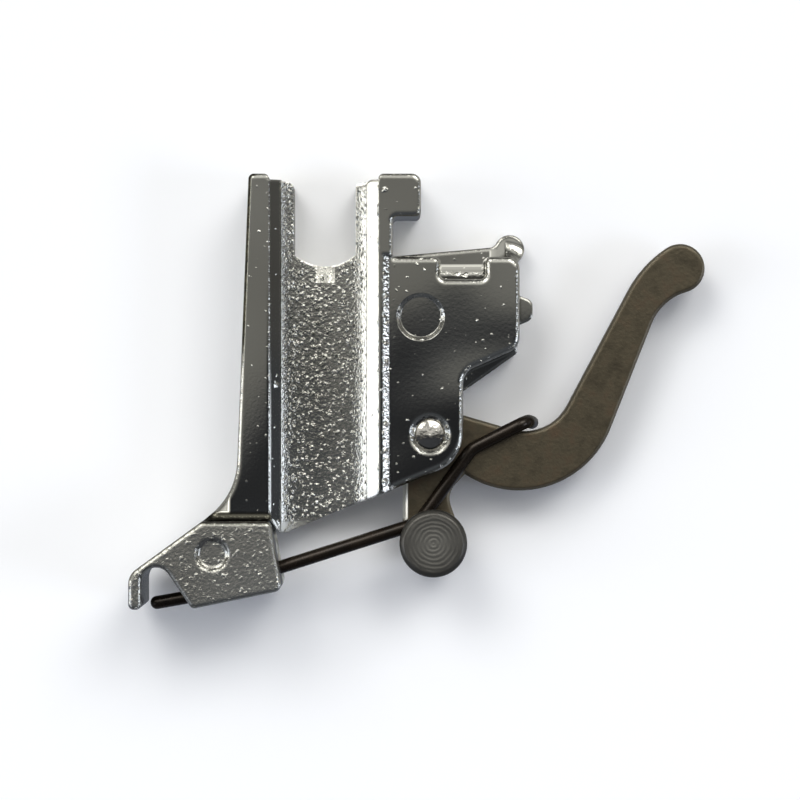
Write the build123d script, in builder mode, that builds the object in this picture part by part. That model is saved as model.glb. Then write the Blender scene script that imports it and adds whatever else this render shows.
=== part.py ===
from build123d import *
import os
from math import cos, radians, sin, tan

os.makedirs("parts", exist_ok=True)

# Clip-on presser foot holder with a release lever, in millimetres.
# Z runs up the presser bar, X to the machine's rear, Y to the far side of the picture.
# The origin is on the presser bar's axis at the height of the clamp screw.

# Depth levels of the casting along Y
bar_radius = 3.15
bar_clearance = 0.05
back_wall = 2.2
plate_thickness = 1.75
flange_rise = 1.3
cheek_drop = 0.3
block_half_width = 3.7
lever_thickness = 1.9
lever_side_clearance = 0.1
seat_radius = bar_radius + bar_clearance
back_y = seat_radius + back_wall
flange_y = -flange_rise
cheek_y = flange_y + cheek_drop
plate_y = back_y - plate_thickness
slot_y = plate_y - lever_thickness - 2 * lever_side_clearance

# Bar channel, seen from the near side
seat_flare = 0.9
seat_flare_angle = 35
flange_lean = 2.27
front_slope = 39.7
front_run = 0.8
front_bend_radius = 5.3
top_z = 4.62
ridge_x = 5.15
ridge_top_x = 4.4
ridge_foot_x = 4.92
lower_slope = 22.5
lower_corner_x = -3.3
lower_corner_z = -22.55
lower_corner_radius = 0.8

# Slot for the clamp screw
screw_slot_width = 4.7
screw_slot_bottom = -2.15
screw_slot_sagitta = 0.85
prong_corner = 0.45
prong_drop = 0.45

# Rear hook beside the channel
rear_hook_x = 7.28
rear_hook_height = 3.2
rear_hook_radius = 0.7

# Near cheek and far plate
cheek_top_z = -1.6
cheek_rear_x = 14.68
cheek_rear_bottom = -8.4
cheek_top_radius = 0.9
cheek_rear_radius = 1.2
neck_z = -10.25
neck_radius = 1.3
lobe_x = 10.45
lobe_radius = 3.0
plate_top_front = -1.45
plate_top_rear = -0.55
plate_rear_bottom = -8.75
plate_neck_z = -11.75
ear_x = 14.08
ear_z = -0.85
plate_rear_radius = 0.6
ear_radius = 1.12
ear_blend = 0.6
ear_cove = 1.5
plate_edge = 0.2
notch_x0 = 8.7
notch_x1 = 12.15
notch_z = -3.26
notch_radius = 0.45
notch_cove = 0.9

# Lever pivot
pivot_x = 7.96
pivot_z = -14.88
pivot_radius = 1.02
pivot_clearance = 0.04
pivot_sink_radius = 1.5
pivot_sink_angle = 48
pivot_dome = 0.3

# Slot between the cheeks
lever_stop_gap = 0.12
slot_front_top = -12.5
slot_rear_top = -9.5
slot_rear_x = 12.45
slot_corner = 1.5

# Front hook block and the groove for the foot's pin
block_top_z = -21.35
block_top_x = -3.93
block_rear_x = -3.0
block_rear_z = -26.45
block_lip_x = -9.95
block_bottom_z = -27.87
block_front_x = -9.0
nose_x = -14.42
nose_z = -25.29
nose_radius = 1.3
block_corner = 0.6
block_cove = 0.45
foot_pin_radius = 1.05
foot_pin_clearance = 0.05
groove_x = -12.35
groove_z = -25.85
groove_wall_angle = 56

# Latch spring
wire_radius = 0.5
coil_radius = 1.75
coil_pitch_gap = 0.05
leg_slope = 17.7
tip_slope = 10
tip_bend_x = -10.4
tip_x = -12.55
upper_slope = 54.2
rest_slope = 26.6
rest_bend_x = 11.15
hook_x = 15.35
hook_end_x = 15.8
hook_end_y = 4.0
hook_end_drop = 0.15
tip_bend = 3.0
rest_bend = 1.6
hook_bend = 0.9
leg_ceiling = 1.05
leg_side_clearance = 0.15

# Spring pin
spring_pin_x = 8.21
spring_pin_z = -23.07
spring_pin_head_radius = 2.54
spring_pin_head = 1.2
spring_pin_rim = 0.5
coil_clearance = 0.1
tail_radius = 0.9
tail_head_radius = 1.35
tail_head = 0.35

# Release lever outline, a chain of straight runs and tangent arcs
pivot_boss_radius = 2.05
arm_boss_radius = 2.3
arm_waist_x = 9.25
arm_waist_z = -19.4
arm_waist_radius = 1.6
top_run_slope = -16.2
top_run = 5.88
valley_radius = 3.64
handle_slope = 62
handle_run = 9.9
crown_radius = 9
crown_angle = 27.5
tip_round_radius = 1.85
tip_round_angle = 198.9
throat_radius = 4
back_slope = 68.5
back_run = 8.54
belly_radius = 7.45
belly_angle = 102
lever_edge = 0.2

# Marks left by the die and the edge rounding
cheek_mark_x = 7.26
cheek_mark_z = -6.11
cheek_mark_radius = 1.8
block_mark_x = -8.19
block_mark_z = -23.76
block_mark_radius = 1.27
mark_depth = 0.25
mark_wall_angle = 50
gate_z = -5.55
gate_y = 2.0
gate_height = 3.1
gate_depth = 1.8
gate_out = 1.05
gate_tip = 1.4
gate_round = 0.6
cast_edge = 0.28
cheek_edge = 0.38
cast_corner = 0.4
level_tolerance = 0.001

# Values worked out from the driving dimensions
half_turn = 180
lever_near_y = slot_y + lever_side_clearance
lever_far_y = lever_near_y + lever_thickness
coil_rise = 2 * wire_radius + coil_pitch_gap
upper_leg_y = lever_near_y - wire_radius - coil_pitch_gap
front_leg_y = upper_leg_y - coil_rise
lower_rise = tan(radians(lower_slope))
channel_half = seat_radius + seat_flare
flare_y = flange_y + seat_flare * tan(radians(seat_flare_angle))


# The front edge leans down the flange, bends, and runs on along the slope to the hook block
bend_angle = half_turn / 2 - front_slope - flange_lean
bend_reach = front_run + front_bend_radius * tan(radians(bend_angle / 2))
front_bend_x = block_front_x + bend_reach * cos(radians(front_slope))
front_bend_z = block_top_z + bend_reach * sin(radians(front_slope))
front_top_x = front_bend_x + (top_z - front_bend_z) * tan(radians(flange_lean))


def lower_edge_z(x):
    """Height of the casting's sloping lower edge."""
    return lower_corner_z + (x - lower_corner_x) * lower_rise


def near_plane(y):
    """Plane seen from the near side, at depth y."""
    return Plane.XZ.offset(-y)


def edges_facing(builder, y):
    """Edges around the faces that look to the near side at depth y."""
    flat = builder.faces().filter_by(Plane.XZ)
    return flat.filter_by_position(Axis.Y, y - level_tolerance, y + level_tolerance).edges()


def nearest(builder, x, z):
    """Corner of a sketch closest to a point."""
    return builder.vertices().sort_by_distance((x, z))[0]


# Channel block of the casting: front flange, back wall, rear ridge and rear hook
with BuildPart() as channel_block:
    with BuildSketch(near_plane(back_y)) as channel_outline:
        with BuildLine():
            Polyline(
                (front_top_x, top_z),
                (rear_hook_x, top_z),
                (rear_hook_x, top_z - rear_hook_height),
                (ridge_x, top_z - rear_hook_height),
                (ridge_x, lower_edge_z(ridge_x)),
                (lower_corner_x, lower_corner_z),
                (block_top_x, block_top_z),
                (block_front_x, block_top_z),
                (front_bend_x, front_bend_z),
                close=True,
            )
        make_face()
        fillet(nearest(channel_outline, front_bend_x, front_bend_z), front_bend_radius)
        fillet(nearest(channel_outline, rear_hook_x, top_z), rear_hook_radius)
        fillet(nearest(channel_outline, rear_hook_x, top_z - rear_hook_height), cast_corner)
        fillet(nearest(channel_outline, ridge_x, top_z - rear_hook_height), cast_corner)
        fillet(nearest(channel_outline, front_top_x, top_z), cast_corner)
        fillet(nearest(channel_outline, lower_corner_x, lower_corner_z), lower_corner_radius)
    extrude(amount=back_y - flange_y)

    # Seat for the bar: a round floor, straight walls and a flared mouth
    with BuildSketch(Plane.XY.offset(lower_corner_z)):
        Circle(seat_radius)
        with BuildLine():
            Polyline(
                (seat_radius, 0),
                (seat_radius, flare_y),
                (channel_half, flange_y),
                (-channel_half, flange_y),
                (-seat_radius, flare_y),
                (-seat_radius, 0),
                close=True,
            )
        make_face()
    extrude(amount=top_z - lower_corner_z, mode=Mode.SUBTRACT)

    # Slot for the clamp screw, open at the top
    with BuildSketch(near_plane(back_y)):
        half = screw_slot_width / 2
        shoulder_z = screw_slot_bottom + screw_slot_sagitta
        with BuildLine():
            ThreePointArc((-half, shoulder_z), (0, screw_slot_bottom), (half, shoulder_z))
            Polyline((half, shoulder_z), (half, top_z), (-half, top_z), (-half, shoulder_z))
        make_face()
    extrude(amount=back_y - flange_y, mode=Mode.SUBTRACT)

    # Slope from the ridge down to the cheek's face
    with BuildSketch(Plane.XY.offset(lower_corner_z)):
        with BuildLine():
            Polyline(
                (ridge_foot_x, cheek_y),
                (ridge_x, cheek_y),
                (ridge_x, flange_y),
                (ridge_top_x, flange_y),
                close=True,
            )
        make_face()
    extrude(amount=cheek_top_z - lower_corner_z, mode=Mode.SUBTRACT)
    near_edges = edges_facing(channel_block, flange_y)
    fillet(near_edges.filter_by(lambda edge: edge.center().Z > block_top_z + level_tolerance), cast_edge)

    # Prongs beside the slot, a little lower than the flange, whose corners are rounded above them
    prong_z = top_z - prong_drop
    with BuildSketch(near_plane(back_y)):
        corner_z = top_z - cast_corner
        corner_x = channel_half + cast_corner
        with BuildLine():
            front_corner = TangentArc((-channel_half, corner_z), (-corner_x, top_z), tangent=(0, 1))
            rear_corner = TangentArc((channel_half, corner_z), (corner_x, top_z), tangent=(0, 1))
            Polyline(front_corner @ 0, (-channel_half, prong_z), (channel_half, prong_z), rear_corner @ 0)
            Line(front_corner @ 1, rear_corner @ 1)
        make_face()
    extrude(amount=back_y - flange_y, mode=Mode.SUBTRACT)
    prong_edges = channel_block.edges().filter_by(Axis.Y).filter_by_position(
        Axis.Z, prong_z - level_tolerance, prong_z + level_tolerance
    )
    fillet(prong_edges.filter_by(lambda edge: abs(edge.center().X) < seat_radius), prong_corner)

# Far plate of the casting with its ear
with BuildPart() as far_plate:
    with BuildSketch(near_plane(back_y)) as plate_outline:
        with BuildLine():
            Polyline(
                (channel_half, plate_top_front),
                (ear_x, plate_top_rear),
                (cheek_rear_x, ear_z),
                (cheek_rear_x, plate_rear_bottom),
                (lobe_x, plate_neck_z),
                (lobe_x, lower_edge_z(lobe_x)),
                (channel_half, lower_edge_z(channel_half)),
                close=True,
            )
        make_face()
        fillet(nearest(plate_outline, cheek_rear_x, plate_rear_bottom), plate_rear_radius)
        fillet(nearest(plate_outline, lobe_x, lower_edge_z(lobe_x)), lobe_radius)
        with Locations((ear_x, ear_z)):
            Circle(ear_radius)
        fillet(nearest(plate_outline, ear_x - ear_radius, plate_top_rear), ear_blend)
    extrude(amount=back_y - plate_y)
    near_edges = edges_facing(far_plate, plate_y)
    fillet(near_edges.filter_by(lambda edge: edge.center().Z > cheek_top_z), plate_edge)

# Near cheek of the casting, standing on the far plate, with the notch in its top edge
with BuildPart() as near_cheek:
    with BuildSketch(near_plane(plate_y)) as cheek_outline:
        with BuildLine():
            Polyline(
                (channel_half, cheek_top_z),
                (notch_x0, cheek_top_z),
                (notch_x0, notch_z),
                (notch_x1, notch_z),
                (notch_x1, cheek_top_z),
                (cheek_rear_x, cheek_top_z),
                (cheek_rear_x, cheek_rear_bottom),
                (lobe_x, neck_z),
                (lobe_x, lower_edge_z(lobe_x)),
                (channel_half, lower_edge_z(channel_half)),
                close=True,
            )
        make_face()
        for notch_x in (notch_x0, notch_x1):
            fillet(nearest(cheek_outline, notch_x, notch_z), notch_radius)
            fillet(nearest(cheek_outline, notch_x, cheek_top_z), cast_corner)
        fillet(nearest(cheek_outline, cheek_rear_x, cheek_top_z), cheek_top_radius)
        fillet(nearest(cheek_outline, cheek_rear_x, cheek_rear_bottom), cheek_rear_radius)
        fillet(nearest(cheek_outline, lobe_x, neck_z), neck_radius)
        fillet(nearest(cheek_outline, lobe_x, lower_edge_z(lobe_x)), lobe_radius)
    extrude(amount=plate_y - cheek_y)
    near_edges = edges_facing(near_cheek, cheek_y)
    fillet(near_edges.filter_by(lambda edge: edge.center().X > ridge_x), cheek_edge)

# Front hook block of the casting
groove_radius = foot_pin_radius + foot_pin_clearance
wall_x = groove_x + groove_radius * sin(radians(groove_wall_angle))
wall_z = groove_z + groove_radius * cos(radians(groove_wall_angle))
mouth_z = block_bottom_z - groove_radius
mouth_x = wall_x + (wall_z - mouth_z) / tan(radians(groove_wall_angle))
leg_rise = tan(radians(leg_slope))
leg_touch_x = spring_pin_x - coil_radius * sin(radians(leg_slope))
leg_touch_z = spring_pin_z + coil_radius * cos(radians(leg_slope))
with BuildPart() as hook_block:
    with BuildSketch(near_plane(block_half_width)) as block_outline:
        with BuildLine():
            Polyline(
                (block_top_x, block_top_z),
                (block_rear_x, block_rear_z),
                (block_lip_x, block_bottom_z),
                (nose_x, block_bottom_z),
                (nose_x, nose_z),
                (block_front_x, block_top_z),
                close=True,
            )
        make_face()
        with BuildLine():
            Polyline(
                (groove_x - groove_radius, groove_z),
                (wall_x, wall_z),
                (mouth_x, mouth_z),
                (groove_x - groove_radius, mouth_z),
                close=True,
            )
        make_face(mode=Mode.SUBTRACT)
        with Locations((groove_x, groove_z)):
            Circle(groove_radius, mode=Mode.SUBTRACT)
        fillet(nearest(block_outline, block_top_x, block_top_z), cast_corner)
        fillet(nearest(block_outline, block_rear_x, block_rear_z), block_corner)
        fillet(nearest(block_outline, nose_x, nose_z), nose_radius)
        fillet(nearest(block_outline, nose_x, block_bottom_z), cast_corner)
        fillet(nearest(block_outline, groove_x - groove_radius, block_bottom_z), cast_corner)
        fillet(nearest(block_outline, block_lip_x, block_bottom_z), cast_corner)
    extrude(amount=2 * block_half_width)
    fillet(edges_facing(hook_block, -block_half_width), cast_edge)

    # Slot for the spring's front leg, open below
    ceiling_z = leg_touch_z + leg_ceiling / cos(radians(leg_slope))
    half_slot = wire_radius + leg_side_clearance
    with BuildSketch(near_plane(front_leg_y + half_slot)):
        with BuildLine():
            Polyline(
                (block_rear_x, ceiling_z - (leg_touch_x - block_rear_x) * leg_rise),
                (groove_x, ceiling_z - (leg_touch_x - groove_x) * leg_rise),
                (groove_x, mouth_z),
                (block_rear_x, mouth_z),
                close=True,
            )
        make_face()
    extrude(amount=2 * half_slot, mode=Mode.SUBTRACT)

# Cove where the hook block rises from the flange
with BuildPart() as cove_strip:
    with BuildSketch(Plane.YZ.offset(block_front_x)):
        with BuildLine():
            Line((flange_y, block_top_z + block_cove), (flange_y, block_top_z))
            Line((flange_y, block_top_z), (flange_y - block_cove, block_top_z))
            RadiusArc(
                (flange_y - block_cove, block_top_z), (flange_y, block_top_z + block_cove), -block_cove
            )
        make_face()
    extrude(amount=block_top_x - block_front_x)
    extrude(channel_outline.sketch, amount=back_y + block_half_width, mode=Mode.INTERSECT)

# Holder body: the whole casting
with BuildPart() as holder_body:
    add(channel_block.part)
    add(cove_strip.part)
    add(far_plate.part)
    add(near_cheek.part)
    add(hook_block.part)

    # Cove where the cheek rises from the far plate, seen through the notch
    with BuildSketch(Plane.YZ.offset(notch_x0)):
        with BuildLine():
            Line((plate_y, notch_z + notch_cove), (plate_y, notch_z))
            Line((plate_y, notch_z), (plate_y - notch_cove, notch_z))
            RadiusArc((plate_y - notch_cove, notch_z), (plate_y, notch_z + notch_cove), -notch_cove)
        make_face()
    extrude(amount=notch_x1 - notch_x0)

    # The same cove round the cheek's rear corner, on the ear
    ring_x = cheek_rear_x - cheek_top_radius
    ring_z = cheek_top_z - cheek_top_radius
    with BuildPart(mode=Mode.PRIVATE) as ear_cove_ring:
        with BuildSketch(Plane.YZ.offset(ring_x)):
            with BuildLine():
                Line((plate_y, cheek_top_z + ear_cove), (plate_y, cheek_top_z))
                Line((plate_y, cheek_top_z), (plate_y - ear_cove, cheek_top_z))
                RadiusArc((plate_y - ear_cove, cheek_top_z), (plate_y, cheek_top_z + ear_cove), -ear_cove)
            make_face()
        revolve(axis=Axis((ring_x, 0, ring_z), (0, 1, 0)), revolution_arc=half_turn / 2)
        extrude(plate_outline.sketch, amount=back_y + block_half_width, mode=Mode.INTERSECT)
    add(ear_cove_ring.part)

    # Slot between the cheeks for the lever
    slot_front_x = pivot_x - pivot_boss_radius - lever_stop_gap
    with BuildSketch(near_plane(plate_y)) as slot_outline:
        with BuildLine():
            Polyline(
                (slot_front_x, slot_front_top),
                (slot_rear_x, slot_rear_top),
                (cheek_rear_x, slot_rear_top),
                (cheek_rear_x, lower_corner_z),
                (slot_front_x, lower_corner_z),
                close=True,
            )
        make_face()
        fillet(nearest(slot_outline, slot_front_x, slot_front_top), slot_corner)
    extrude(amount=plate_y - slot_y, mode=Mode.SUBTRACT)

    # Hole for the pivot pin with its countersink
    with BuildSketch(near_plane(back_y)):
        with Locations((pivot_x, pivot_z)):
            Circle(pivot_radius)
    extrude(amount=back_y - cheek_y, mode=Mode.SUBTRACT)
    sink_depth = (pivot_sink_radius - pivot_radius) / tan(radians(pivot_sink_angle))
    with BuildSketch(near_plane(cheek_y + sink_depth)):
        with Locations((pivot_x, pivot_z)):
            Circle(pivot_radius)
    extrude(amount=sink_depth, taper=-pivot_sink_angle, mode=Mode.SUBTRACT)

    # Ejector marks, dished with sloping walls
    mark_wall = mark_depth * tan(radians(mark_wall_angle))
    with BuildSketch(near_plane(cheek_y + mark_depth)):
        with Locations((cheek_mark_x, cheek_mark_z)):
            Circle(cheek_mark_radius - mark_wall)
    extrude(amount=mark_depth, taper=-mark_wall_angle, mode=Mode.SUBTRACT)
    with BuildSketch(near_plane(mark_depth - block_half_width)):
        with Locations((block_mark_x, block_mark_z)):
            Circle(block_mark_radius - mark_wall)
    extrude(amount=mark_depth, taper=-mark_wall_angle, mode=Mode.SUBTRACT)

    # Remnant of the casting gate on the rear edge
    with BuildSketch(near_plane(gate_y + gate_depth / 2)) as gate_outline:
        with BuildLine():
            Polyline(
                (cheek_rear_x - gate_out, gate_z + gate_height / 2),
                (cheek_rear_x + gate_out, gate_z + gate_tip / 2),
                (cheek_rear_x + gate_out, gate_z - gate_tip / 2),
                (cheek_rear_x - gate_out, gate_z - gate_height / 2),
                close=True,
            )
        make_face()
        fillet(gate_outline.vertices().sort_by(Axis.X)[-2:], gate_round)
    extrude(amount=gate_depth)

    # Broken edges round the back
    far_face = holder_body.faces().filter_by(Plane.XZ).sort_by(Axis.Y)[-1]
    chamfer(far_face.outer_wire().edges().filter_by(GeomType.LINE), cast_edge)
holder_body.part.label = "holder_body"
export_step(holder_body.part, "parts/holder_body.step")

# Release lever: a stamped plate with a curved handle and a lower arm
with BuildPart() as release_lever:
    with BuildSketch(near_plane(lever_far_y)) as lever_outline:
        with BuildLine():
            run_x = pivot_x - pivot_boss_radius * sin(radians(top_run_slope))
            run_z = pivot_z + pivot_boss_radius * cos(radians(top_run_slope))
            top = PolarLine((run_x, run_z), top_run, top_run_slope)
            valley = JernArc(top @ 1, top % 1, valley_radius, handle_slope - top_run_slope)
            handle = PolarLine(valley @ 1, handle_run, direction=valley % 1)
            crown = JernArc(handle @ 1, handle % 1, crown_radius, -crown_angle)
            tip = JernArc(crown @ 1, crown % 1, tip_round_radius, -tip_round_angle)
            throat_angle = crown_angle + tip_round_angle - handle_slope - half_turn + back_slope
            throat = JernArc(tip @ 1, tip % 1, throat_radius, throat_angle)
            back = PolarLine(throat @ 1, back_run, direction=throat % 1)
            belly = JernArc(back @ 1, back % 1, belly_radius, -belly_angle)
            Polyline(belly @ 1, (pivot_x, pivot_z), top @ 0)
        make_face()
        with BuildLine():
            Polyline(
                (pivot_x - pivot_boss_radius, pivot_z),
                (pivot_x + pivot_boss_radius, pivot_z),
                belly @ 1,
                (arm_waist_x, arm_waist_z),
                (spring_pin_x + arm_boss_radius, spring_pin_z),
                (pivot_x - pivot_boss_radius, spring_pin_z),
                close=True,
            )
        make_face()
        with Locations((pivot_x, pivot_z)):
            Circle(pivot_boss_radius)
        with Locations((spring_pin_x, spring_pin_z)):
            Circle(arm_boss_radius)
        fillet(nearest(lever_outline, arm_waist_x, arm_waist_z), arm_waist_radius)
        with Locations((pivot_x, pivot_z)):
            Circle(pivot_radius + pivot_clearance, mode=Mode.SUBTRACT)
        with Locations((spring_pin_x, spring_pin_z)):
            Circle(tail_radius, mode=Mode.SUBTRACT)
    extrude(amount=lever_thickness)
    for lever_face in release_lever.faces().filter_by(Plane.XZ):
        chamfer(lever_face.outer_wire().edges(), lever_edge)
release_lever.part.label = "release_lever"
export_step(release_lever.part, "parts/release_lever.step")

# Pivot pin, pressed into both cheeks, with a domed near end
with BuildPart() as lever_pivot_pin:
    with BuildSketch(Plane.XY.offset(pivot_z)):
        rim_x = pivot_x + pivot_radius
        with BuildLine():
            dome = TangentArc((pivot_x, cheek_y), (rim_x, cheek_y + pivot_dome), tangent=(1, 0))
            Polyline(dome @ 1, (rim_x, back_y), (pivot_x, back_y), dome @ 0)
        make_face()
    revolve(axis=Axis((pivot_x, 0, pivot_z), (0, 1, 0)))
lever_pivot_pin.part.label = "lever_pivot_pin"
export_step(lever_pivot_pin.part, "parts/lever_pivot_pin.step")

# Spring pin: head, shank under the coil, tail riveted behind the lever
shank_radius = coil_radius - wire_radius - coil_clearance
head_under_y = front_leg_y - wire_radius - coil_clearance
with BuildPart() as spring_pin:
    with BuildSketch(near_plane(head_under_y)):
        with Locations((spring_pin_x, spring_pin_z)):
            Circle(spring_pin_head_radius)
    extrude(amount=spring_pin_head)
    fillet(spring_pin.edges().filter_by(GeomType.CIRCLE).sort_by(Axis.Y)[0], spring_pin_rim)
    with BuildSketch(near_plane(lever_near_y)):
        with Locations((spring_pin_x, spring_pin_z)):
            Circle(shank_radius)
    extrude(amount=lever_near_y - head_under_y)
    with BuildSketch(near_plane(lever_far_y)):
        with Locations((spring_pin_x, spring_pin_z)):
            Circle(tail_radius)
    extrude(amount=lever_thickness)
    with BuildSketch(near_plane(lever_far_y + tail_head)):
        with Locations((spring_pin_x, spring_pin_z)):
            Circle(tail_head_radius)
    extrude(amount=tail_head)
spring_pin.part.label = "spring_pin"
export_step(spring_pin.part, "parts/spring_pin.step")

# Latch spring: front leg, one wound turn, upper leg hooked over the lever
coil_angle = 2 * half_turn + leg_slope - upper_slope
coil_start = Plane(
    origin=(spring_pin_x, upper_leg_y, spring_pin_z),
    x_dir=(-sin(radians(upper_slope)), 0, cos(radians(upper_slope))),
    z_dir=(0, -1, 0),
)
coil_lead = coil_rise * 2 * half_turn / coil_angle
coil = Edge.make_helix(coil_lead, coil_rise, coil_radius).moved(coil_start.location)
tip_bend_z = leg_touch_z - (leg_touch_x - tip_bend_x) * leg_rise
tip_z = tip_bend_z - (tip_bend_x - tip_x) * tan(radians(tip_slope))
rest_bend_z = (coil @ 0).Z + (rest_bend_x - (coil @ 0).X) * tan(radians(upper_slope))
hook_z = rest_bend_z + (hook_x - rest_bend_x) * tan(radians(rest_slope))
with BuildPart() as latch_spring:
    with BuildLine():
        front_leg = FilletPolyline(
            coil @ 1,
            (tip_bend_x, front_leg_y, tip_bend_z),
            (tip_x, front_leg_y, tip_z),
            radius=tip_bend,
        )
    with BuildSketch(Plane(origin=front_leg @ 0, z_dir=front_leg % 0)):
        Circle(wire_radius)
    sweep(path=front_leg)
    with BuildLine():
        upper_leg = FilletPolyline(
            coil @ 0,
            (rest_bend_x, upper_leg_y, rest_bend_z),
            (hook_x, upper_leg_y, hook_z),
            (hook_end_x, hook_end_y, hook_z - hook_end_drop),
            radius=[rest_bend, hook_bend],
        )
    with BuildSketch(Plane(origin=upper_leg @ 0, z_dir=upper_leg % 0)):
        Circle(wire_radius)
    sweep(path=upper_leg)
    with BuildSketch(Plane(origin=coil @ 0, z_dir=coil % 0)):
        Circle(wire_radius)
    sweep(path=coil, is_frenet=True)
    with Locations(coil @ 0, coil @ 1, (tip_x, front_leg_y, tip_z)):
        Sphere(wire_radius)
latch_spring.part.label = "latch_spring"
export_step(latch_spring.part, "parts/latch_spring.step")
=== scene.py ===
from math import pi, radians

import bpy
from mathutils import Matrix, Vector


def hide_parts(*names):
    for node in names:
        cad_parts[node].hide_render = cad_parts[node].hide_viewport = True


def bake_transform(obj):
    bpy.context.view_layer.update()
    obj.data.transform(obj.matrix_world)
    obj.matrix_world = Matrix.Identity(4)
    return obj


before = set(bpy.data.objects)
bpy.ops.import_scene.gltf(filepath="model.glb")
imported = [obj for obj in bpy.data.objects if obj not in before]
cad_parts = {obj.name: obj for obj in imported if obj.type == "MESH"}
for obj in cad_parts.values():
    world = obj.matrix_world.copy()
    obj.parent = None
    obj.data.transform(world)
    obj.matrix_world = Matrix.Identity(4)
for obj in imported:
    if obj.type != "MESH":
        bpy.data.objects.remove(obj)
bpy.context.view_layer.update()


# The holder is one zinc die casting, tumbled and then bright plated. Its channel floor and its
# hook keep the grain of the die, and its edges are softly rounded. It clamps to the presser bar.
MM = 0.001
PLATING = "#c6c5be"
PLATING_SHADE = "#a2a098"
# The dark colour that is painted in as shade.
PAINTED_SHADE = "#3d3b2f"
FLAT_ROUGHNESS, FLOOR_ROUGHNESS, HOOK_DULLING = 0.06, 0.16, 0.5
# In millimetres. Grit and beads are drawn a little coarser than the die leaves them, to show.
WAVE_SIZE, WAVE_HEIGHT = 7.0, 0.08
GRAIN_SIZE, GRAIN_HEIGHT, GRAIN_STIR = 0.22, 0.02, 0.35
GRIT_SPACING, GRIT_RADIUS, GRIT_HEIGHT = 0.34, 0.19, 0.11
BEAD_SPACING, BEAD_RADIUS, BEAD_HEIGHT = 0.5, 0.26, 0.1
PIMPLE_SPACING, PIMPLE_RADIUS, PIMPLE_HEIGHT = 0.65, 0.11, 0.03
BLOB_SPACING, BLOB_RADIUS, BLOB_HEIGHT = 2.4, 0.24, 0.06
EDGE_ROUND, MARK_EDGE_ROUND = 0.3, 0.06
SHADE_REACH = 0.6
FLOOR_EDGE_X, FLOOR_EDGE_Y, BACK_Y = 3.8, -0.5, 4.6
FLARE_EDGE_X = 4.0
HOOK_TOP_Z = -21.2
NOTCH_Z, EAR_X, PLATE_Y = -3.26, 14.08, 3.65
MARK, MARK_RADIUS = (7.2, 0, -5.94), 2.2


def linear(hex_colour):
    """sRGB hex to linear RGBA."""
    parts = [int(hex_colour[i:i + 2], 16) / 255 for i in (1, 3, 5)]
    return [p / 12.92 if p <= 0.04045 else ((p + 0.055) / 1.055) ** 2.4 for p in parts] + [1.0]


def add(tree, kind, inputs=None, **settings):
    """Adds a node to a tree, with its settings, and sets or links its inputs."""
    made = tree.nodes.new(kind)
    for name, value in settings.items():
        setattr(made, name, value)
    for socket, value in (inputs or {}).items():
        if isinstance(value, bpy.types.NodeSocket):
            tree.links.new(value, made.inputs[socket])
        else:
            made.inputs[socket].default_value = value
    return made


def finish_named(name):
    """A new material with an empty tree, and its place in millimetres."""
    material = bpy.data.materials.new(name)
    material.use_nodes = True
    tree = material.node_tree
    tree.nodes.clear()
    place = add(tree, "ShaderNodeTexCoord")
    in_mm = add(tree, "ShaderNodeVectorMath", {
        0: place.outputs["Object"], "Scale": 1 / MM,
    }, operation="SCALE")
    return material, tree, in_mm.outputs[0]


# Bright nickel plating over the as-cast skin: mirror-like in the small, broken up by beads and
# grain, so flats turned to the camera look dark with white glints, and slopes look white.
plated_zinc, tree, spot = finish_named("plated zinc casting")

# Where the skin changes: the channel's floor, the hook block, the open side and the rounded edges.
at = add(tree, "ShaderNodeSeparateXYZ", {0: spot})
off_axis = add(tree, "ShaderNodeMath", {0: at.outputs["X"]}, operation="ABSOLUTE")
in_channel = add(tree, "ShaderNodeMapRange", {
    "Value": off_axis.outputs[0], "From Min": FLOOR_EDGE_X, "From Max": FLOOR_EDGE_X - 0.2,
})
deep = add(tree, "ShaderNodeMapRange", {
    "Value": at.outputs["Y"], "From Min": FLOOR_EDGE_Y - 0.1, "From Max": FLOOR_EDGE_Y + 0.1,
    "To Max": in_channel.outputs[0],
})
floor = add(tree, "ShaderNodeMath", {0: at.outputs["Y"], 1: BACK_Y}, operation="LESS_THAN")
floor = add(tree, "ShaderNodeMath", {
    0: floor.outputs[0], 1: deep.outputs[0],
}, operation="MULTIPLY")
hook = add(tree, "ShaderNodeMapRange", {
    "Value": at.outputs["Z"], "From Min": HOOK_TOP_Z, "From Max": HOOK_TOP_Z - 0.6, "To Max": 0.4,
})
face = add(tree, "ShaderNodeNewGeometry")
turned = add(tree, "ShaderNodeSeparateXYZ", {0: face.outputs["True Normal"]})
open_side = add(tree, "ShaderNodeMapRange", {
    "Value": turned.outputs["Y"], "From Min": -0.5, "From Max": -0.8,
})
facing = add(tree, "ShaderNodeVectorMath", {0: face.outputs["True Normal"]}, operation="ABSOLUTE")
facing = add(tree, "ShaderNodeSeparateXYZ", {0: facing.outputs[0]})
square = add(tree, "ShaderNodeMath", {
    0: facing.outputs["X"], 1: facing.outputs["Y"],
}, operation="MAXIMUM")
square = add(tree, "ShaderNodeMath", {
    0: square.outputs[0], 1: facing.outputs["Z"],
}, operation="MAXIMUM")
beside = add(tree, "ShaderNodeMapRange", {
    "Value": off_axis.outputs[0], "From Min": FLARE_EDGE_X, "From Max": FLARE_EDGE_X + 0.1,
})
edge = add(tree, "ShaderNodeMapRange", {
    "Value": square.outputs[0], "From Min": 0.985, "From Max": 0.95, "To Max": beside.outputs[0],
})
cast = add(tree, "ShaderNodeMath", {0: hook.outputs[0], 1: 0.7}, operation="MULTIPLY")
cast = add(tree, "ShaderNodeMath", {0: floor.outputs[0], 1: cast.outputs[0]}, operation="MAXIMUM")
grainy = add(tree, "ShaderNodeMath", {0: edge.outputs[0], 1: 1.5}, operation="MULTIPLY")
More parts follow.
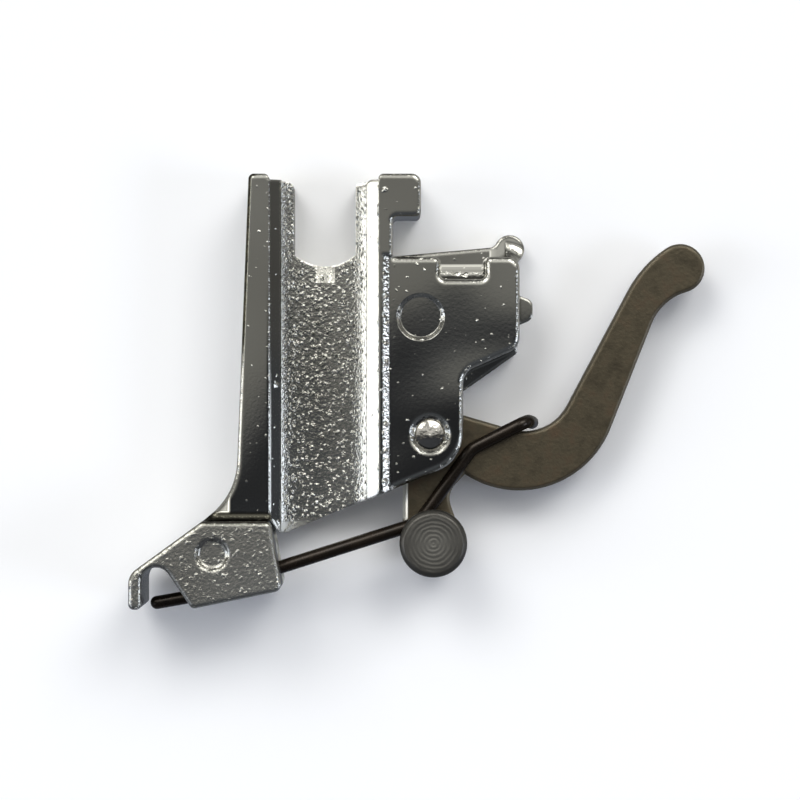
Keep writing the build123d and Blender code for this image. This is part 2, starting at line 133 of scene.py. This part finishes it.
grainy = add(tree, "ShaderNodeMath", {
    0: grainy.outputs[0], 1: floor.outputs[0],
}, operation="MAXIMUM")
mottled = add(tree, "ShaderNodeMath", {0: hook.outputs[0], 1: 2.2}, operation="MULTIPLY")
grainy = add(tree, "ShaderNodeMath", {
    0: grainy.outputs[0], 1: mottled.outputs[0],
}, operation="MAXIMUM")
grainy = add(tree, "ShaderNodeMapRange", {
    "Value": grainy.outputs[0], "From Max": 2.0, "To Min": 0.04, "To Max": 2.0,
})

# The relief, in millimetres: fine grain, grit in the channel, beads of plating on the edges, small
# pimples and a few blobs on the open side, and a slow wave that bends what the flats mirror.
wave = add(tree, "ShaderNodeTexNoise", {"Vector": spot, "Scale": 1 / WAVE_SIZE, "Detail": 0.0})
grain = add(tree, "ShaderNodeTexNoise", {"Vector": spot, "Scale": 1 / GRAIN_SIZE, "Detail": 2.0})
stir = add(tree, "ShaderNodeVectorMath", {
    0: grain.outputs["Color"], 1: (GRAIN_STIR, GRAIN_STIR, GRAIN_STIR), 2: spot,
}, operation="MULTIPLY_ADD")
skin = add(tree, "ShaderNodeMath", {0: grain.outputs["Fac"], 1: GRAIN_HEIGHT}, operation="MULTIPLY")
skin = add(tree, "ShaderNodeMath", {0: skin.outputs[0], 1: grainy.outputs[0]}, operation="MULTIPLY")
for spacing, radius, rise, share in (
    (GRIT_SPACING, GRIT_RADIUS, GRIT_HEIGHT, cast.outputs[0]),
    (BEAD_SPACING, BEAD_RADIUS, BEAD_HEIGHT, edge.outputs[0]),
    (PIMPLE_SPACING, PIMPLE_RADIUS, PIMPLE_HEIGHT, open_side.outputs[0]),
    (BLOB_SPACING, BLOB_RADIUS, BLOB_HEIGHT, open_side.outputs[0]),
):
    cells = add(tree, "ShaderNodeTexVoronoi", {
        "Vector": stir.outputs[0], "Scale": 1 / spacing,
    }, feature="F1")
    dome = add(tree, "ShaderNodeMapRange", {
        "Value": cells.outputs["Distance"], "From Max": radius / spacing, "To Min": rise, "To Max": 0.0,
    }, interpolation_type="SMOOTHSTEP")
    chance = add(tree, "ShaderNodeSeparateColor", {0: cells.outputs["Color"]})
    chance = add(tree, "ShaderNodeMapRange", {"Value": chance.outputs[0], "From Min": 0.3})
    dome = add(tree, "ShaderNodeMath", {
        0: dome.outputs[0], 1: chance.outputs[0],
    }, operation="MULTIPLY")
    skin = add(tree, "ShaderNodeMath", {
        0: dome.outputs[0], 1: share, 2: skin.outputs[0],
    }, operation="MULTIPLY_ADD")
skin = add(tree, "ShaderNodeMath", {
    0: wave.outputs["Fac"], 1: WAVE_HEIGHT, 2: skin.outputs[0],
}, operation="MULTIPLY_ADD")

# Tumbling rounds every edge, but leaves the ejector mark on the cheek crisp.
from_mark = add(tree, "ShaderNodeVectorMath", {
    0: spot, 1: (1, 0, 1), 2: [-m for m in MARK],
}, operation="MULTIPLY_ADD")
from_mark = add(tree, "ShaderNodeVectorMath", {0: from_mark.outputs[0]}, operation="LENGTH")
round_off = add(tree, "ShaderNodeMapRange", {
    "Value": from_mark.outputs["Value"], "From Min": MARK_RADIUS, "From Max": MARK_RADIUS + 0.3,
    "To Min": MARK_EDGE_ROUND * MM, "To Max": EDGE_ROUND * MM,
})
soft_edge = add(tree, "ShaderNodeBevel", {"Radius": round_off.outputs[0]}, samples=6)

# Soft rolls too shallow for the solid: the plate leans up in the notch's cove and at the ear, which
# then look pale, and the flange's lower left corner leans out, which draws its white triangle.
above = add(tree, "ShaderNodeMath", {
    0: at.outputs["Z"], 1: NOTCH_Z - 0.14,
}, operation="GREATER_THAN")
cove = add(tree, "ShaderNodeMapRange", {
    "Value": at.outputs["Z"], "From Min": NOTCH_Z + 1.36, "From Max": NOTCH_Z + 0.36, "To Max": 0.75,
})
ear = add(tree, "ShaderNodeMapRange", {
    "Value": at.outputs["X"], "From Min": EAR_X - 1.6, "From Max": EAR_X - 1.0, "To Max": 0.55,
})
cove = add(tree, "ShaderNodeMath", {0: cove.outputs[0], 1: ear.outputs[0]}, operation="MAXIMUM")
cove = add(tree, "ShaderNodeMath", {0: cove.outputs[0], 1: above.outputs[0]}, operation="MULTIPLY")
plate = add(tree, "ShaderNodeMapRange", {
    "Value": facing.outputs["Y"], "From Min": 0.97, "From Max": 0.99,
})
at_plate = add(tree, "ShaderNodeMath", {
    0: at.outputs["Y"], 1: PLATE_Y, 2: 0.6,
}, operation="COMPARE")
plate = add(tree, "ShaderNodeMath", {
    0: plate.outputs[0], 1: at_plate.outputs[0],
}, operation="MULTIPLY")
cove = add(tree, "ShaderNodeMath", {0: cove.outputs[0], 1: plate.outputs[0]}, operation="MULTIPLY")
cove = add(tree, "ShaderNodeCombineXYZ", {"Z": cove.outputs[0]})
sweep = add(tree, "ShaderNodeMapRange", {
    "Value": at.outputs["X"], "From Min": -6.95, "From Max": -7.15,
})
for axis, start, full in (("Z", -20.85, -20.65), ("Z", -19.1, -19.4), ("Y", -0.6, -0.9)):
    sweep = add(tree, "ShaderNodeMapRange", {
        "Value": at.outputs[axis], "From Min": start, "From Max": full, "To Max": sweep.outputs[0],
    })
lean = add(tree, "ShaderNodeVectorMath", {
    0: (-0.35, 0, 0.34), "Scale": sweep.outputs[0],
}, operation="SCALE")
lean = add(tree, "ShaderNodeVectorMath", {0: lean.outputs[0], 1: cove.outputs[0]}, operation="ADD")
lean = add(tree, "ShaderNodeVectorMath", {0: lean.outputs[0], 1: soft_edge.outputs[0]}, operation="ADD")
# The round channel floor is shaded flatter than it is, so that its grit reads as one even grey.
even = add(tree, "ShaderNodeMath", {0: floor.outputs[0], 1: 0.65}, operation="MULTIPLY")
lean = add(tree, "ShaderNodeMix", {
    "Factor": even.outputs[0], "A": lean.outputs[0], "B": (0, -1, 0),
}, data_type="VECTOR")
lean = add(tree, "ShaderNodeVectorMath", {0: lean.outputs["Result"]}, operation="NORMALIZE")
relief = add(tree, "ShaderNodeBump", {
    "Distance": MM, "Height": skin.outputs[0], "Normal": lean.outputs[0],
})

# Colour: plating in two tones, with painted shade in inner corners, in the step above the hook
# block, and on the upper part of the left edge.
tone = add(tree, "ShaderNodeMix", {
    "Factor": wave.outputs["Fac"], "A": linear(PLATING), "B": linear(PLATING_SHADE),
}, data_type="RGBA")
# Painted shade: ambient occlusion darkens the plating in inner corners outside the channel.
corner_shade = add(tree, "ShaderNodeAmbientOcclusion", {
    "Distance": SHADE_REACH * MM,
}, samples=8, only_local=True)
corner_shade = add(tree, "ShaderNodeMapRange", {
    "Value": corner_shade.outputs["AO"], "From Min": 0.72, "From Max": 0.4, "To Max": 0.85,
})
outside = add(tree, "ShaderNodeMath", {0: 1.0, 1: in_channel.outputs[0]}, operation="SUBTRACT")
corner_shade = add(tree, "ShaderNodeMath", {
    0: corner_shade.outputs[0], 1: outside.outputs[0],
}, operation="MULTIPLY")
# Painted shade: the concave step above the hook block is darkened.
step_shade = add(tree, "ShaderNodeMath", {
    0: at.outputs["Z"], 1: HOOK_TOP_Z + 0.1,
}, operation="SUBTRACT")
step_shade = add(tree, "ShaderNodeMath", {0: step_shade.outputs[0]}, operation="ABSOLUTE")
step_shade = add(tree, "ShaderNodeMapRange", {
    "Value": step_shade.outputs[0], "From Min": 0.5, "From Max": 0.3, "To Max": 0.9,
})
step_shade = add(tree, "ShaderNodeMapRange", {
    "Value": at.outputs["X"], "From Min": -3.8, "From Max": -4.0, "To Max": step_shade.outputs[0],
})
# Painted shade: the upper part of the flange's left edge is darkened, which takes away its highlight.
upper_edge_shade = add(tree, "ShaderNodeMapRange", {
    "Value": at.outputs["X"], "From Min": -5.0, "From Max": -5.2, "To Max": edge.outputs[0],
})
upper_edge_shade = add(tree, "ShaderNodeMapRange", {
    "Value": at.outputs["Z"], "From Min": -11.0, "From Max": -8.0, "To Max": upper_edge_shade.outputs[0],
})
# The three masks of painted shade together mix the plating towards the dark shade colour.
shade_mask = add(tree, "ShaderNodeMath", {0: corner_shade.outputs[0], 1: step_shade.outputs[0]}, operation="MAXIMUM")
shade_mask = add(tree, "ShaderNodeMath", {0: shade_mask.outputs[0], 1: upper_edge_shade.outputs[0]}, operation="MAXIMUM")
tone = add(tree, "ShaderNodeMix", {
    "Factor": shade_mask.outputs[0], "A": tone.outputs["Result"], "B": linear(PAINTED_SHADE),
}, data_type="RGBA")
gloss = add(tree, "ShaderNodeMapRange", {
    "Value": floor.outputs[0], "To Min": FLAT_ROUGHNESS, "To Max": FLOOR_ROUGHNESS,
})
dulling = add(tree, "ShaderNodeMapRange", {
    "Value": edge.outputs[0], "To Min": HOOK_DULLING, "To Max": 0.0,
})
gloss = add(tree, "ShaderNodeMath", {
    0: hook.outputs[0], 1: dulling.outputs[0], 2: gloss.outputs[0],
}, operation="MULTIPLY_ADD")
shader = add(tree, "ShaderNodeBsdfPrincipled", {
    "Base Color": tone.outputs["Result"], "Metallic": 1.0, "Roughness": gloss.outputs[0],
    "Normal": relief.outputs[0],
})
add(tree, "ShaderNodeOutputMaterial", {"Surface": shader.outputs[0]})
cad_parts["holder_body"].material_slots[0].material = plated_zinc


# The pivot pin is ground steel, pressed into both cheeks. Its near end is a polished dome in a
# countersink, and its far end is flush with the back.
PIN_STEEL = "#98958f"
PIN_WEAR_SIZE, PIN_WEAR_DEPTH = 0.5, 0.06
PEENED_LEAN = (0.15, -0.8, 0.1)
# Polished steel, bright as a mirror. Peening flattened the dome, so its glint is one large patch.
polished_steel, tree, spot = finish_named("polished steel pin")
wear = add(tree, "ShaderNodeTexNoise", {"Vector": spot, "Scale": 1 / PIN_WEAR_SIZE, "Detail": 3.0})
gloss = add(tree, "ShaderNodeMapRange", {"Value": wear.outputs["Fac"], "To Min": 0.03, "To Max": 0.14})
face = add(tree, "ShaderNodeNewGeometry")
peened = add(tree, "ShaderNodeVectorMath", {
    0: face.outputs["Normal"], 1: PEENED_LEAN,
}, operation="ADD")
peened = add(tree, "ShaderNodeVectorMath", {0: peened.outputs[0]}, operation="NORMALIZE")
relief = add(tree, "ShaderNodeBump", {
    "Distance": PIN_WEAR_DEPTH * MM, "Height": wear.outputs["Fac"], "Normal": peened.outputs[0],
})
shader = add(tree, "ShaderNodeBsdfPrincipled", {
    "Base Color": linear(PIN_STEEL), "Metallic": 1.0, "Roughness": gloss.outputs[0],
    "Normal": relief.outputs[0],
})
add(tree, "ShaderNodeOutputMaterial", {"Surface": shader.outputs[0]})
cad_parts["lever_pivot_pin"].material_slots[0].material = polished_steel


# The release lever is stamped from steel plate and finished in dark bronze, faintly mottled,
# with a painted highlight that makes its sheared edges lighter. It turns on the pivot pin between the
# cheeks.
BRONZE = "#585040"
BRONZE_DARK = "#484134"
BRONZE_RED = "#5a4a3a"
PAINTED_EDGE_LIGHT = "#777061"
PAINTED_ARM_HIGHLIGHT = "#e8e4d8"
MOTTLE_SIZE = 1.3
LEVER_GRIT_SIZE, LEVER_GRIT_DEPTH = 0.22, 0.03
LEVER_EDGE_ROUND = 0.25
ARM_HIGHLIGHT_X, ARM_HIGHLIGHT_Z = 6.25, -21.2
# Chemically bronzed steel: a dark satin skin, brown and a little red in patches, with its side walls
# painted lighter as a highlight, and a near-white painted highlight on the left edge of the lower arm.
bronzed_steel, tree, spot = finish_named("bronzed steel lever")
mottle = add(tree, "ShaderNodeTexNoise", {
    "Vector": spot, "Scale": 1 / MOTTLE_SIZE, "Detail": 5.0, "Roughness": 0.6,
})
blush = add(tree, "ShaderNodeValToRGB", {"Fac": mottle.outputs["Fac"]})
blush.color_ramp.elements[0].position = 0.25
blush.color_ramp.elements[0].color = linear(BRONZE_DARK)
blush.color_ramp.elements[1].position = 0.75
blush.color_ramp.elements[1].color = linear(BRONZE_RED)
middle = blush.color_ramp.elements.new(0.5)
middle.color = linear(BRONZE)
face = add(tree, "ShaderNodeNewGeometry")
facing = add(tree, "ShaderNodeSeparateXYZ", {0: face.outputs["True Normal"]})
flat = add(tree, "ShaderNodeMath", {0: facing.outputs["Y"]}, operation="ABSOLUTE")
# Painted highlight: the sheared side walls are mixed towards a lighter colour.
edge = add(tree, "ShaderNodeMapRange", {
    "Value": flat.outputs[0], "From Min": 0.95, "From Max": 0.75, "To Max": 0.6,
})
colour = add(tree, "ShaderNodeMix", {
    "Factor": edge.outputs[0], "A": blush.outputs["Color"], "B": linear(PAINTED_EDGE_LIGHT),
}, data_type="RGBA")
at = add(tree, "ShaderNodeSeparateXYZ", {0: spot})
# Painted highlight: a near-white colour, with a normal leaned left, along the lower arm's left edge.
arm_highlight = add(tree, "ShaderNodeMapRange", {
    "Value": at.outputs["X"], "From Min": ARM_HIGHLIGHT_X + 0.1, "From Max": ARM_HIGHLIGHT_X,
})
arm_highlight = add(tree, "ShaderNodeMapRange", {
    "Value": at.outputs["Z"], "From Min": ARM_HIGHLIGHT_Z - 0.3, "From Max": ARM_HIGHLIGHT_Z,
    "To Max": arm_highlight.outputs[0],
})
colour = add(tree, "ShaderNodeMix", {
    "Factor": arm_highlight.outputs[0], "A": colour.outputs["Result"], "B": linear(PAINTED_ARM_HIGHLIGHT),
}, data_type="RGBA")
soft_edge = add(tree, "ShaderNodeBevel", {"Radius": LEVER_EDGE_ROUND * MM}, samples=6)
rounded = add(tree, "ShaderNodeVectorMath", {
    0: (-0.6, 0, 0), "Scale": arm_highlight.outputs[0],
}, operation="SCALE")
rounded = add(tree, "ShaderNodeVectorMath", {
    0: rounded.outputs[0], 1: soft_edge.outputs[0],
}, operation="ADD")
rounded = add(tree, "ShaderNodeVectorMath", {0: rounded.outputs[0]}, operation="NORMALIZE")
grit = add(tree, "ShaderNodeTexNoise", {"Vector": spot, "Scale": 1 / LEVER_GRIT_SIZE, "Detail": 2.0})
relief = add(tree, "ShaderNodeBump", {
    "Strength": 0.5, "Distance": LEVER_GRIT_DEPTH * MM, "Height": grit.outputs["Fac"],
    "Normal": rounded.outputs[0],
})
gloss = add(tree, "ShaderNodeMapRange", {"Value": mottle.outputs["Fac"], "To Min": 0.26, "To Max": 0.42})
shader = add(tree, "ShaderNodeBsdfPrincipled", {
    "Base Color": colour.outputs["Result"], "Metallic": 0.7, "Roughness": gloss.outputs[0],
    "Normal": relief.outputs[0],
})
add(tree, "ShaderNodeOutputMaterial", {"Surface": shader.outputs[0]})
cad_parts["release_lever"].material_slots[0].material = bronzed_steel


# The spring pin is turned from steel bar and riveted into the lever's lower arm. Its flat
# head keeps the rings that the turning tool left.
TURNED_CENTRE = "#706e68"
TURNED_RIM = "#494743"
SPRING_PIN = Vector((8.21, 0.0, -23.07))
HEAD_RADIUS = 2.54
RING_PITCH, RING_DEPTH, RING_DRIFT = 0.32, 0.006, 0.25
CHATTER_SIZE = 0.7
# Turned steel, oiled dark: satin grey, paler at the centre. The rings are really finer, and are
# drawn coarse enough to show.
turned_steel, tree, spot = finish_named("turned steel pin")
centred = add(tree, "ShaderNodeVectorMath", {0: spot, 1: -SPRING_PIN}, operation="ADD")
centred = add(tree, "ShaderNodeVectorMath", {
    0: centred.outputs[0], 1: (1, 0, 1),
}, operation="MULTIPLY")
reach = add(tree, "ShaderNodeVectorMath", {0: centred.outputs[0]}, operation="LENGTH")
chatter = add(tree, "ShaderNodeTexNoise", {"Vector": spot, "Scale": 1 / CHATTER_SIZE, "Detail": 3.0})
phase = add(tree, "ShaderNodeMath", {
    0: chatter.outputs["Fac"], 1: RING_DRIFT, 2: reach.outputs["Value"],
}, operation="MULTIPLY_ADD")
phase = add(tree, "ShaderNodeMath", {0: phase.outputs[0], 1: 2 * pi / RING_PITCH}, operation="MULTIPLY")
rings = add(tree, "ShaderNodeMath", {0: phase.outputs[0]}, operation="SINE")
relief = add(tree, "ShaderNodeBump", {"Distance": RING_DEPTH * MM, "Height": rings.outputs[0]})
out = add(tree, "ShaderNodeMapRange", {"Value": reach.outputs["Value"], "From Max": HEAD_RADIUS})
tone = add(tree, "ShaderNodeMix", {
    "Factor": out.outputs[0], "A": linear(TURNED_CENTRE), "B": linear(TURNED_RIM),
}, data_type="RGBA")
gloss = add(tree, "ShaderNodeMapRange", {"Value": chatter.outputs["Fac"], "To Min": 0.3, "To Max": 0.5})
shader = add(tree, "ShaderNodeBsdfPrincipled", {
    "Base Color": tone.outputs["Result"], "Metallic": 0.75, "Roughness": gloss.outputs[0],
    "Normal": relief.outputs[0],
})
add(tree, "ShaderNodeOutputMaterial", {"Surface": shader.outputs[0]})
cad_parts["spring_pin"].material_slots[0].material = turned_steel


# The latch spring is one length of blackened music wire: a straight front leg, one turn on the
# spring pin, and an upper leg hooked over the lever. Its turn gives as the lever is pressed.
WIRE_BLACK = "#14110d"
WIRE_BROWN = "#2f251b"
WIRE_PATCH_SIZE = 0.8
# Drawn and blackened wire: almost black, oily, browner and duller where it is worn.
black_wire, tree, spot = finish_named("blackened music wire")
drawn = add(tree, "ShaderNodeTexNoise", {"Vector": spot, "Scale": 1 / WIRE_PATCH_SIZE, "Detail": 4.0})
shade = add(tree, "ShaderNodeMix", {
    "Factor": drawn.outputs["Fac"], "A": linear(WIRE_BLACK), "B": linear(WIRE_BROWN),
}, data_type="RGBA")
gloss = add(tree, "ShaderNodeMapRange", {"Value": drawn.outputs["Fac"], "To Min": 0.18, "To Max": 0.36})
shader = add(tree, "ShaderNodeBsdfPrincipled", {
    "Base Color": shade.outputs["Result"], "Metallic": 0.6, "Roughness": gloss.outputs[0],
})
add(tree, "ShaderNodeOutputMaterial", {"Surface": shader.outputs[0]})
latch_wire = bpy.data.objects.new("latch_wire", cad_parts["latch_spring"].data.copy())
bpy.context.collection.objects.link(latch_wire)
latch_wire.data.materials[0] = black_wire
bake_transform(latch_wire)
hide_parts("latch_spring")


# The part lies with its flat back on a white table, seen from straight above, so the table stands
# as a pale sheet behind it. The sheet is clear from its far side, and metal doesn't mirror it.
TABLE_WHITE = "#f7f7f9"
TABLE_GLOW = 0.02
TABLE_Y, TABLE_HALF = 5.45 * MM, 600 * MM
mesh = bpy.data.meshes.new("table")
mesh.from_pydata([
    (x * TABLE_HALF, TABLE_Y, z * TABLE_HALF) for x, z in ((-1, -1), (1, -1), (1, 1), (-1, 1))
], [], [(0, 1, 2, 3)])
table = bpy.data.objects.new("table", mesh)
bpy.context.collection.objects.link(table)
table.visible_glossy = False
table.visible_diffuse = False
white_table = bpy.data.materials.new("white table top")
white_table.use_nodes = True
tree = white_table.node_tree
tree.nodes.clear()
path = add(tree, "ShaderNodeLightPath")
side_seen = add(tree, "ShaderNodeNewGeometry")
paint = add(tree, "ShaderNodeBsdfDiffuse", {"Color": linear(TABLE_WHITE)})
glow = add(tree, "ShaderNodeMath", {
    0: path.outputs["Is Camera Ray"], 1: TABLE_GLOW,
}, operation="MULTIPLY")
glow = add(tree, "ShaderNodeEmission", {"Color": linear("#ffffff"), "Strength": glow.outputs[0]})
sheet = add(tree, "ShaderNodeAddShader", {0: paint.outputs[0], 1: glow.outputs[0]})
clear = add(tree, "ShaderNodeBsdfTransparent")
one_sided = add(tree, "ShaderNodeMixShader", {
    0: side_seen.outputs["Backfacing"], 1: sheet.outputs[0], 2: clear.outputs[0],
})
add(tree, "ShaderNodeOutputMaterial", {"Surface": one_sided.outputs[0]})
mesh.materials.append(white_table)


# Soft studio light: two soft lamps above the picture, one at the left and a narrow one low at the
# right, in a room that is dim round the camera, darkest level with it, and paler at the back.
LOW_TINT, HIGH_TINT = "#c3cde0", "#fbfbf8"
ROOM_LEVELS = ((0.03, 0.24), (0.2, 0.2), (0.33, 0.24), (0.5, 0.6), (0.75, 1.2), (1.0, 0.35))
SIDE_LEVEL = 0.5
SOFT_FROM = 0.65
# Each panel: its middle and half width in degrees round from the camera, its middle and half
# height, both as the z of a direction, and its strength.
PANELS = (
    (-27, 19, 0.56, 0.18, 6.0),
    (27, 19, 0.56, 0.18, 6.0),
    (0, 50, 0.27, 0.15, 0.9),
    (0, 75, 0.60, 0.38, 0.7),
    (-61, 25, -0.06, 0.22, 4.0),
    (56, 9, -0.17, 0.19, 9.0),
    (-46, 20, -0.42, 0.17, 1.0),
    (96, 20, 0.0, 0.35, 0.6),
    (135, 16, -0.22, 0.25, 0.5),
)
world = bpy.data.worlds.new("studio")
bpy.context.scene.world = world
world.use_nodes = True
tree = world.node_tree
tree.nodes.clear()
path = add(tree, "ShaderNodeLightPath")
direction = add(tree, "ShaderNodeTexCoord")
toward = add(tree, "ShaderNodeSeparateXYZ", {0: direction.outputs["Generated"]})

# The room's walls, from the one behind the camera to the one behind the table.
depth = add(tree, "ShaderNodeMapRange", {"Value": toward.outputs["Y"], "From Min": -1.0})
walls = add(tree, "ShaderNodeValToRGB", {"Fac": depth.outputs[0]})
stops = walls.color_ramp.elements
stops[0].position, stops[1].position = ROOM_LEVELS[0][0], ROOM_LEVELS[-1][0]
for position, _ in ROOM_LEVELS[1:-1]:
    stops.new(position)
for stop, (_, level) in zip(stops, ROOM_LEVELS):
    stop.color = (level, level, level, 1)

# The wall behind the camera, which the flats mirror, goes from black level with the camera to grey
# above and below it. At the left it is grey from lower down.
lift = add(tree, "ShaderNodeMapRange", {
    "Value": toward.outputs["X"], "From Min": -0.08, "From Max": 0.0, "To Min": 0.04, "To Max": 0.0,
})
lift = add(tree, "ShaderNodeMath", {0: lift.outputs[0], 1: toward.outputs["Z"]}, operation="ADD")
height = add(tree, "ShaderNodeMapRange", {
    "Value": lift.outputs[0], "From Min": 0.0, "From Max": 0.042, "To Min": 0.18, "To Max": 1.25,
}, interpolation_type="SMOOTHSTEP")
below = add(tree, "ShaderNodeMapRange", {
    "Value": toward.outputs["Z"], "From Min": -0.025, "From Max": -0.075, "To Max": 0.6,
}, interpolation_type="SMOOTHSTEP")
level = add(tree, "ShaderNodeMath", {0: height.outputs[0], 1: below.outputs[0]}, operation="ADD")
aside = add(tree, "ShaderNodeMapRange", {
    "Value": toward.outputs["Y"], "From Min": -0.9, "From Max": -0.6,
})
level = add(tree, "ShaderNodeMix", {0: aside.outputs[0], 2: level.outputs[0], 3: SIDE_LEVEL})
overhead = add(tree, "ShaderNodeMapRange", {
    "Value": toward.outputs["Z"], "From Min": 0.8, "From Max": 0.97, "To Min": 1.0, "To Max": 0.4,
}, interpolation_type="SMOOTHSTEP")
light = add(tree, "ShaderNodeMath", {
    0: walls.outputs["Color"], 1: level.outputs[0],
}, operation="MULTIPLY")
light = add(tree, "ShaderNodeMath", {0: light.outputs[0], 1: overhead.outputs[0]}, operation="MULTIPLY")

# The lamps and fill panels, each with a soft border.
ahead = add(tree, "ShaderNodeMath", {0: toward.outputs["Y"], 1: -1.0}, operation="MULTIPLY")
bearing = add(tree, "ShaderNodeMath", {
    0: toward.outputs["X"], 1: ahead.outputs[0],
}, operation="ARCTAN2")
for centre, half_width, middle, half_height, strength in PANELS:
    panel = strength
    for place, at_middle, half in (
        (bearing.outputs[0], radians(centre), radians(half_width)),
        (toward.outputs["Z"], middle, half_height),
    ):
        off = add(tree, "ShaderNodeMath", {0: place, 1: at_middle}, operation="SUBTRACT")
        off = add(tree, "ShaderNodeMath", {0: off.outputs[0]}, operation="ABSOLUTE")
        border = add(tree, "ShaderNodeMapRange", {
            "Value": off.outputs[0], "From Min": half, "From Max": SOFT_FROM * half, "To Max": panel,
        }, interpolation_type="SMOOTHSTEP")
        panel = border.outputs[0]
    light = add(tree, "ShaderNodeMath", {0: light.outputs[0], 1: panel}, operation="ADD")
tint = add(tree, "ShaderNodeMix", {
    "Factor": height.outputs[0], "A": linear(LOW_TINT), "B": linear(HIGH_TINT),
}, data_type="RGBA")
room = add(tree, "ShaderNodeBackground", {"Color": tint.outputs["Result"], "Strength": light.outputs[0]})
seen = add(tree, "ShaderNodeBackground", {"Color": linear("#ffffff"), "Strength": 1.0})
both = add(tree, "ShaderNodeMixShader", {
    0: path.outputs["Is Camera Ray"], 1: room.outputs[0], 2: seen.outputs[0],
})
add(tree, "ShaderNodeOutputWorld", {"Surface": both.outputs[0]})


# The camera looks square at the part's open side from 230 mm, and its picture is 60 mm wide.
CAMERA_PLACE = Vector((5.714, -230, -12.33))
PICTURE_WIDTH = 60.15
SENSOR_WIDTH = 36
camera = bpy.data.cameras.new("camera")
camera.sensor_width = SENSOR_WIDTH
camera.lens = SENSOR_WIDTH * -CAMERA_PLACE.y / PICTURE_WIDTH
camera.clip_start = 0.01
camera_stand = bpy.data.objects.new("camera", camera)
camera_stand.matrix_world = Matrix.Translation(CAMERA_PLACE * MM) @ Matrix.Rotation(pi / 2, 4, "X")
bpy.context.collection.objects.link(camera_stand)
bpy.context.scene.camera = camera_stand
bpy.context.scene.view_settings.view_transform = "Standard"
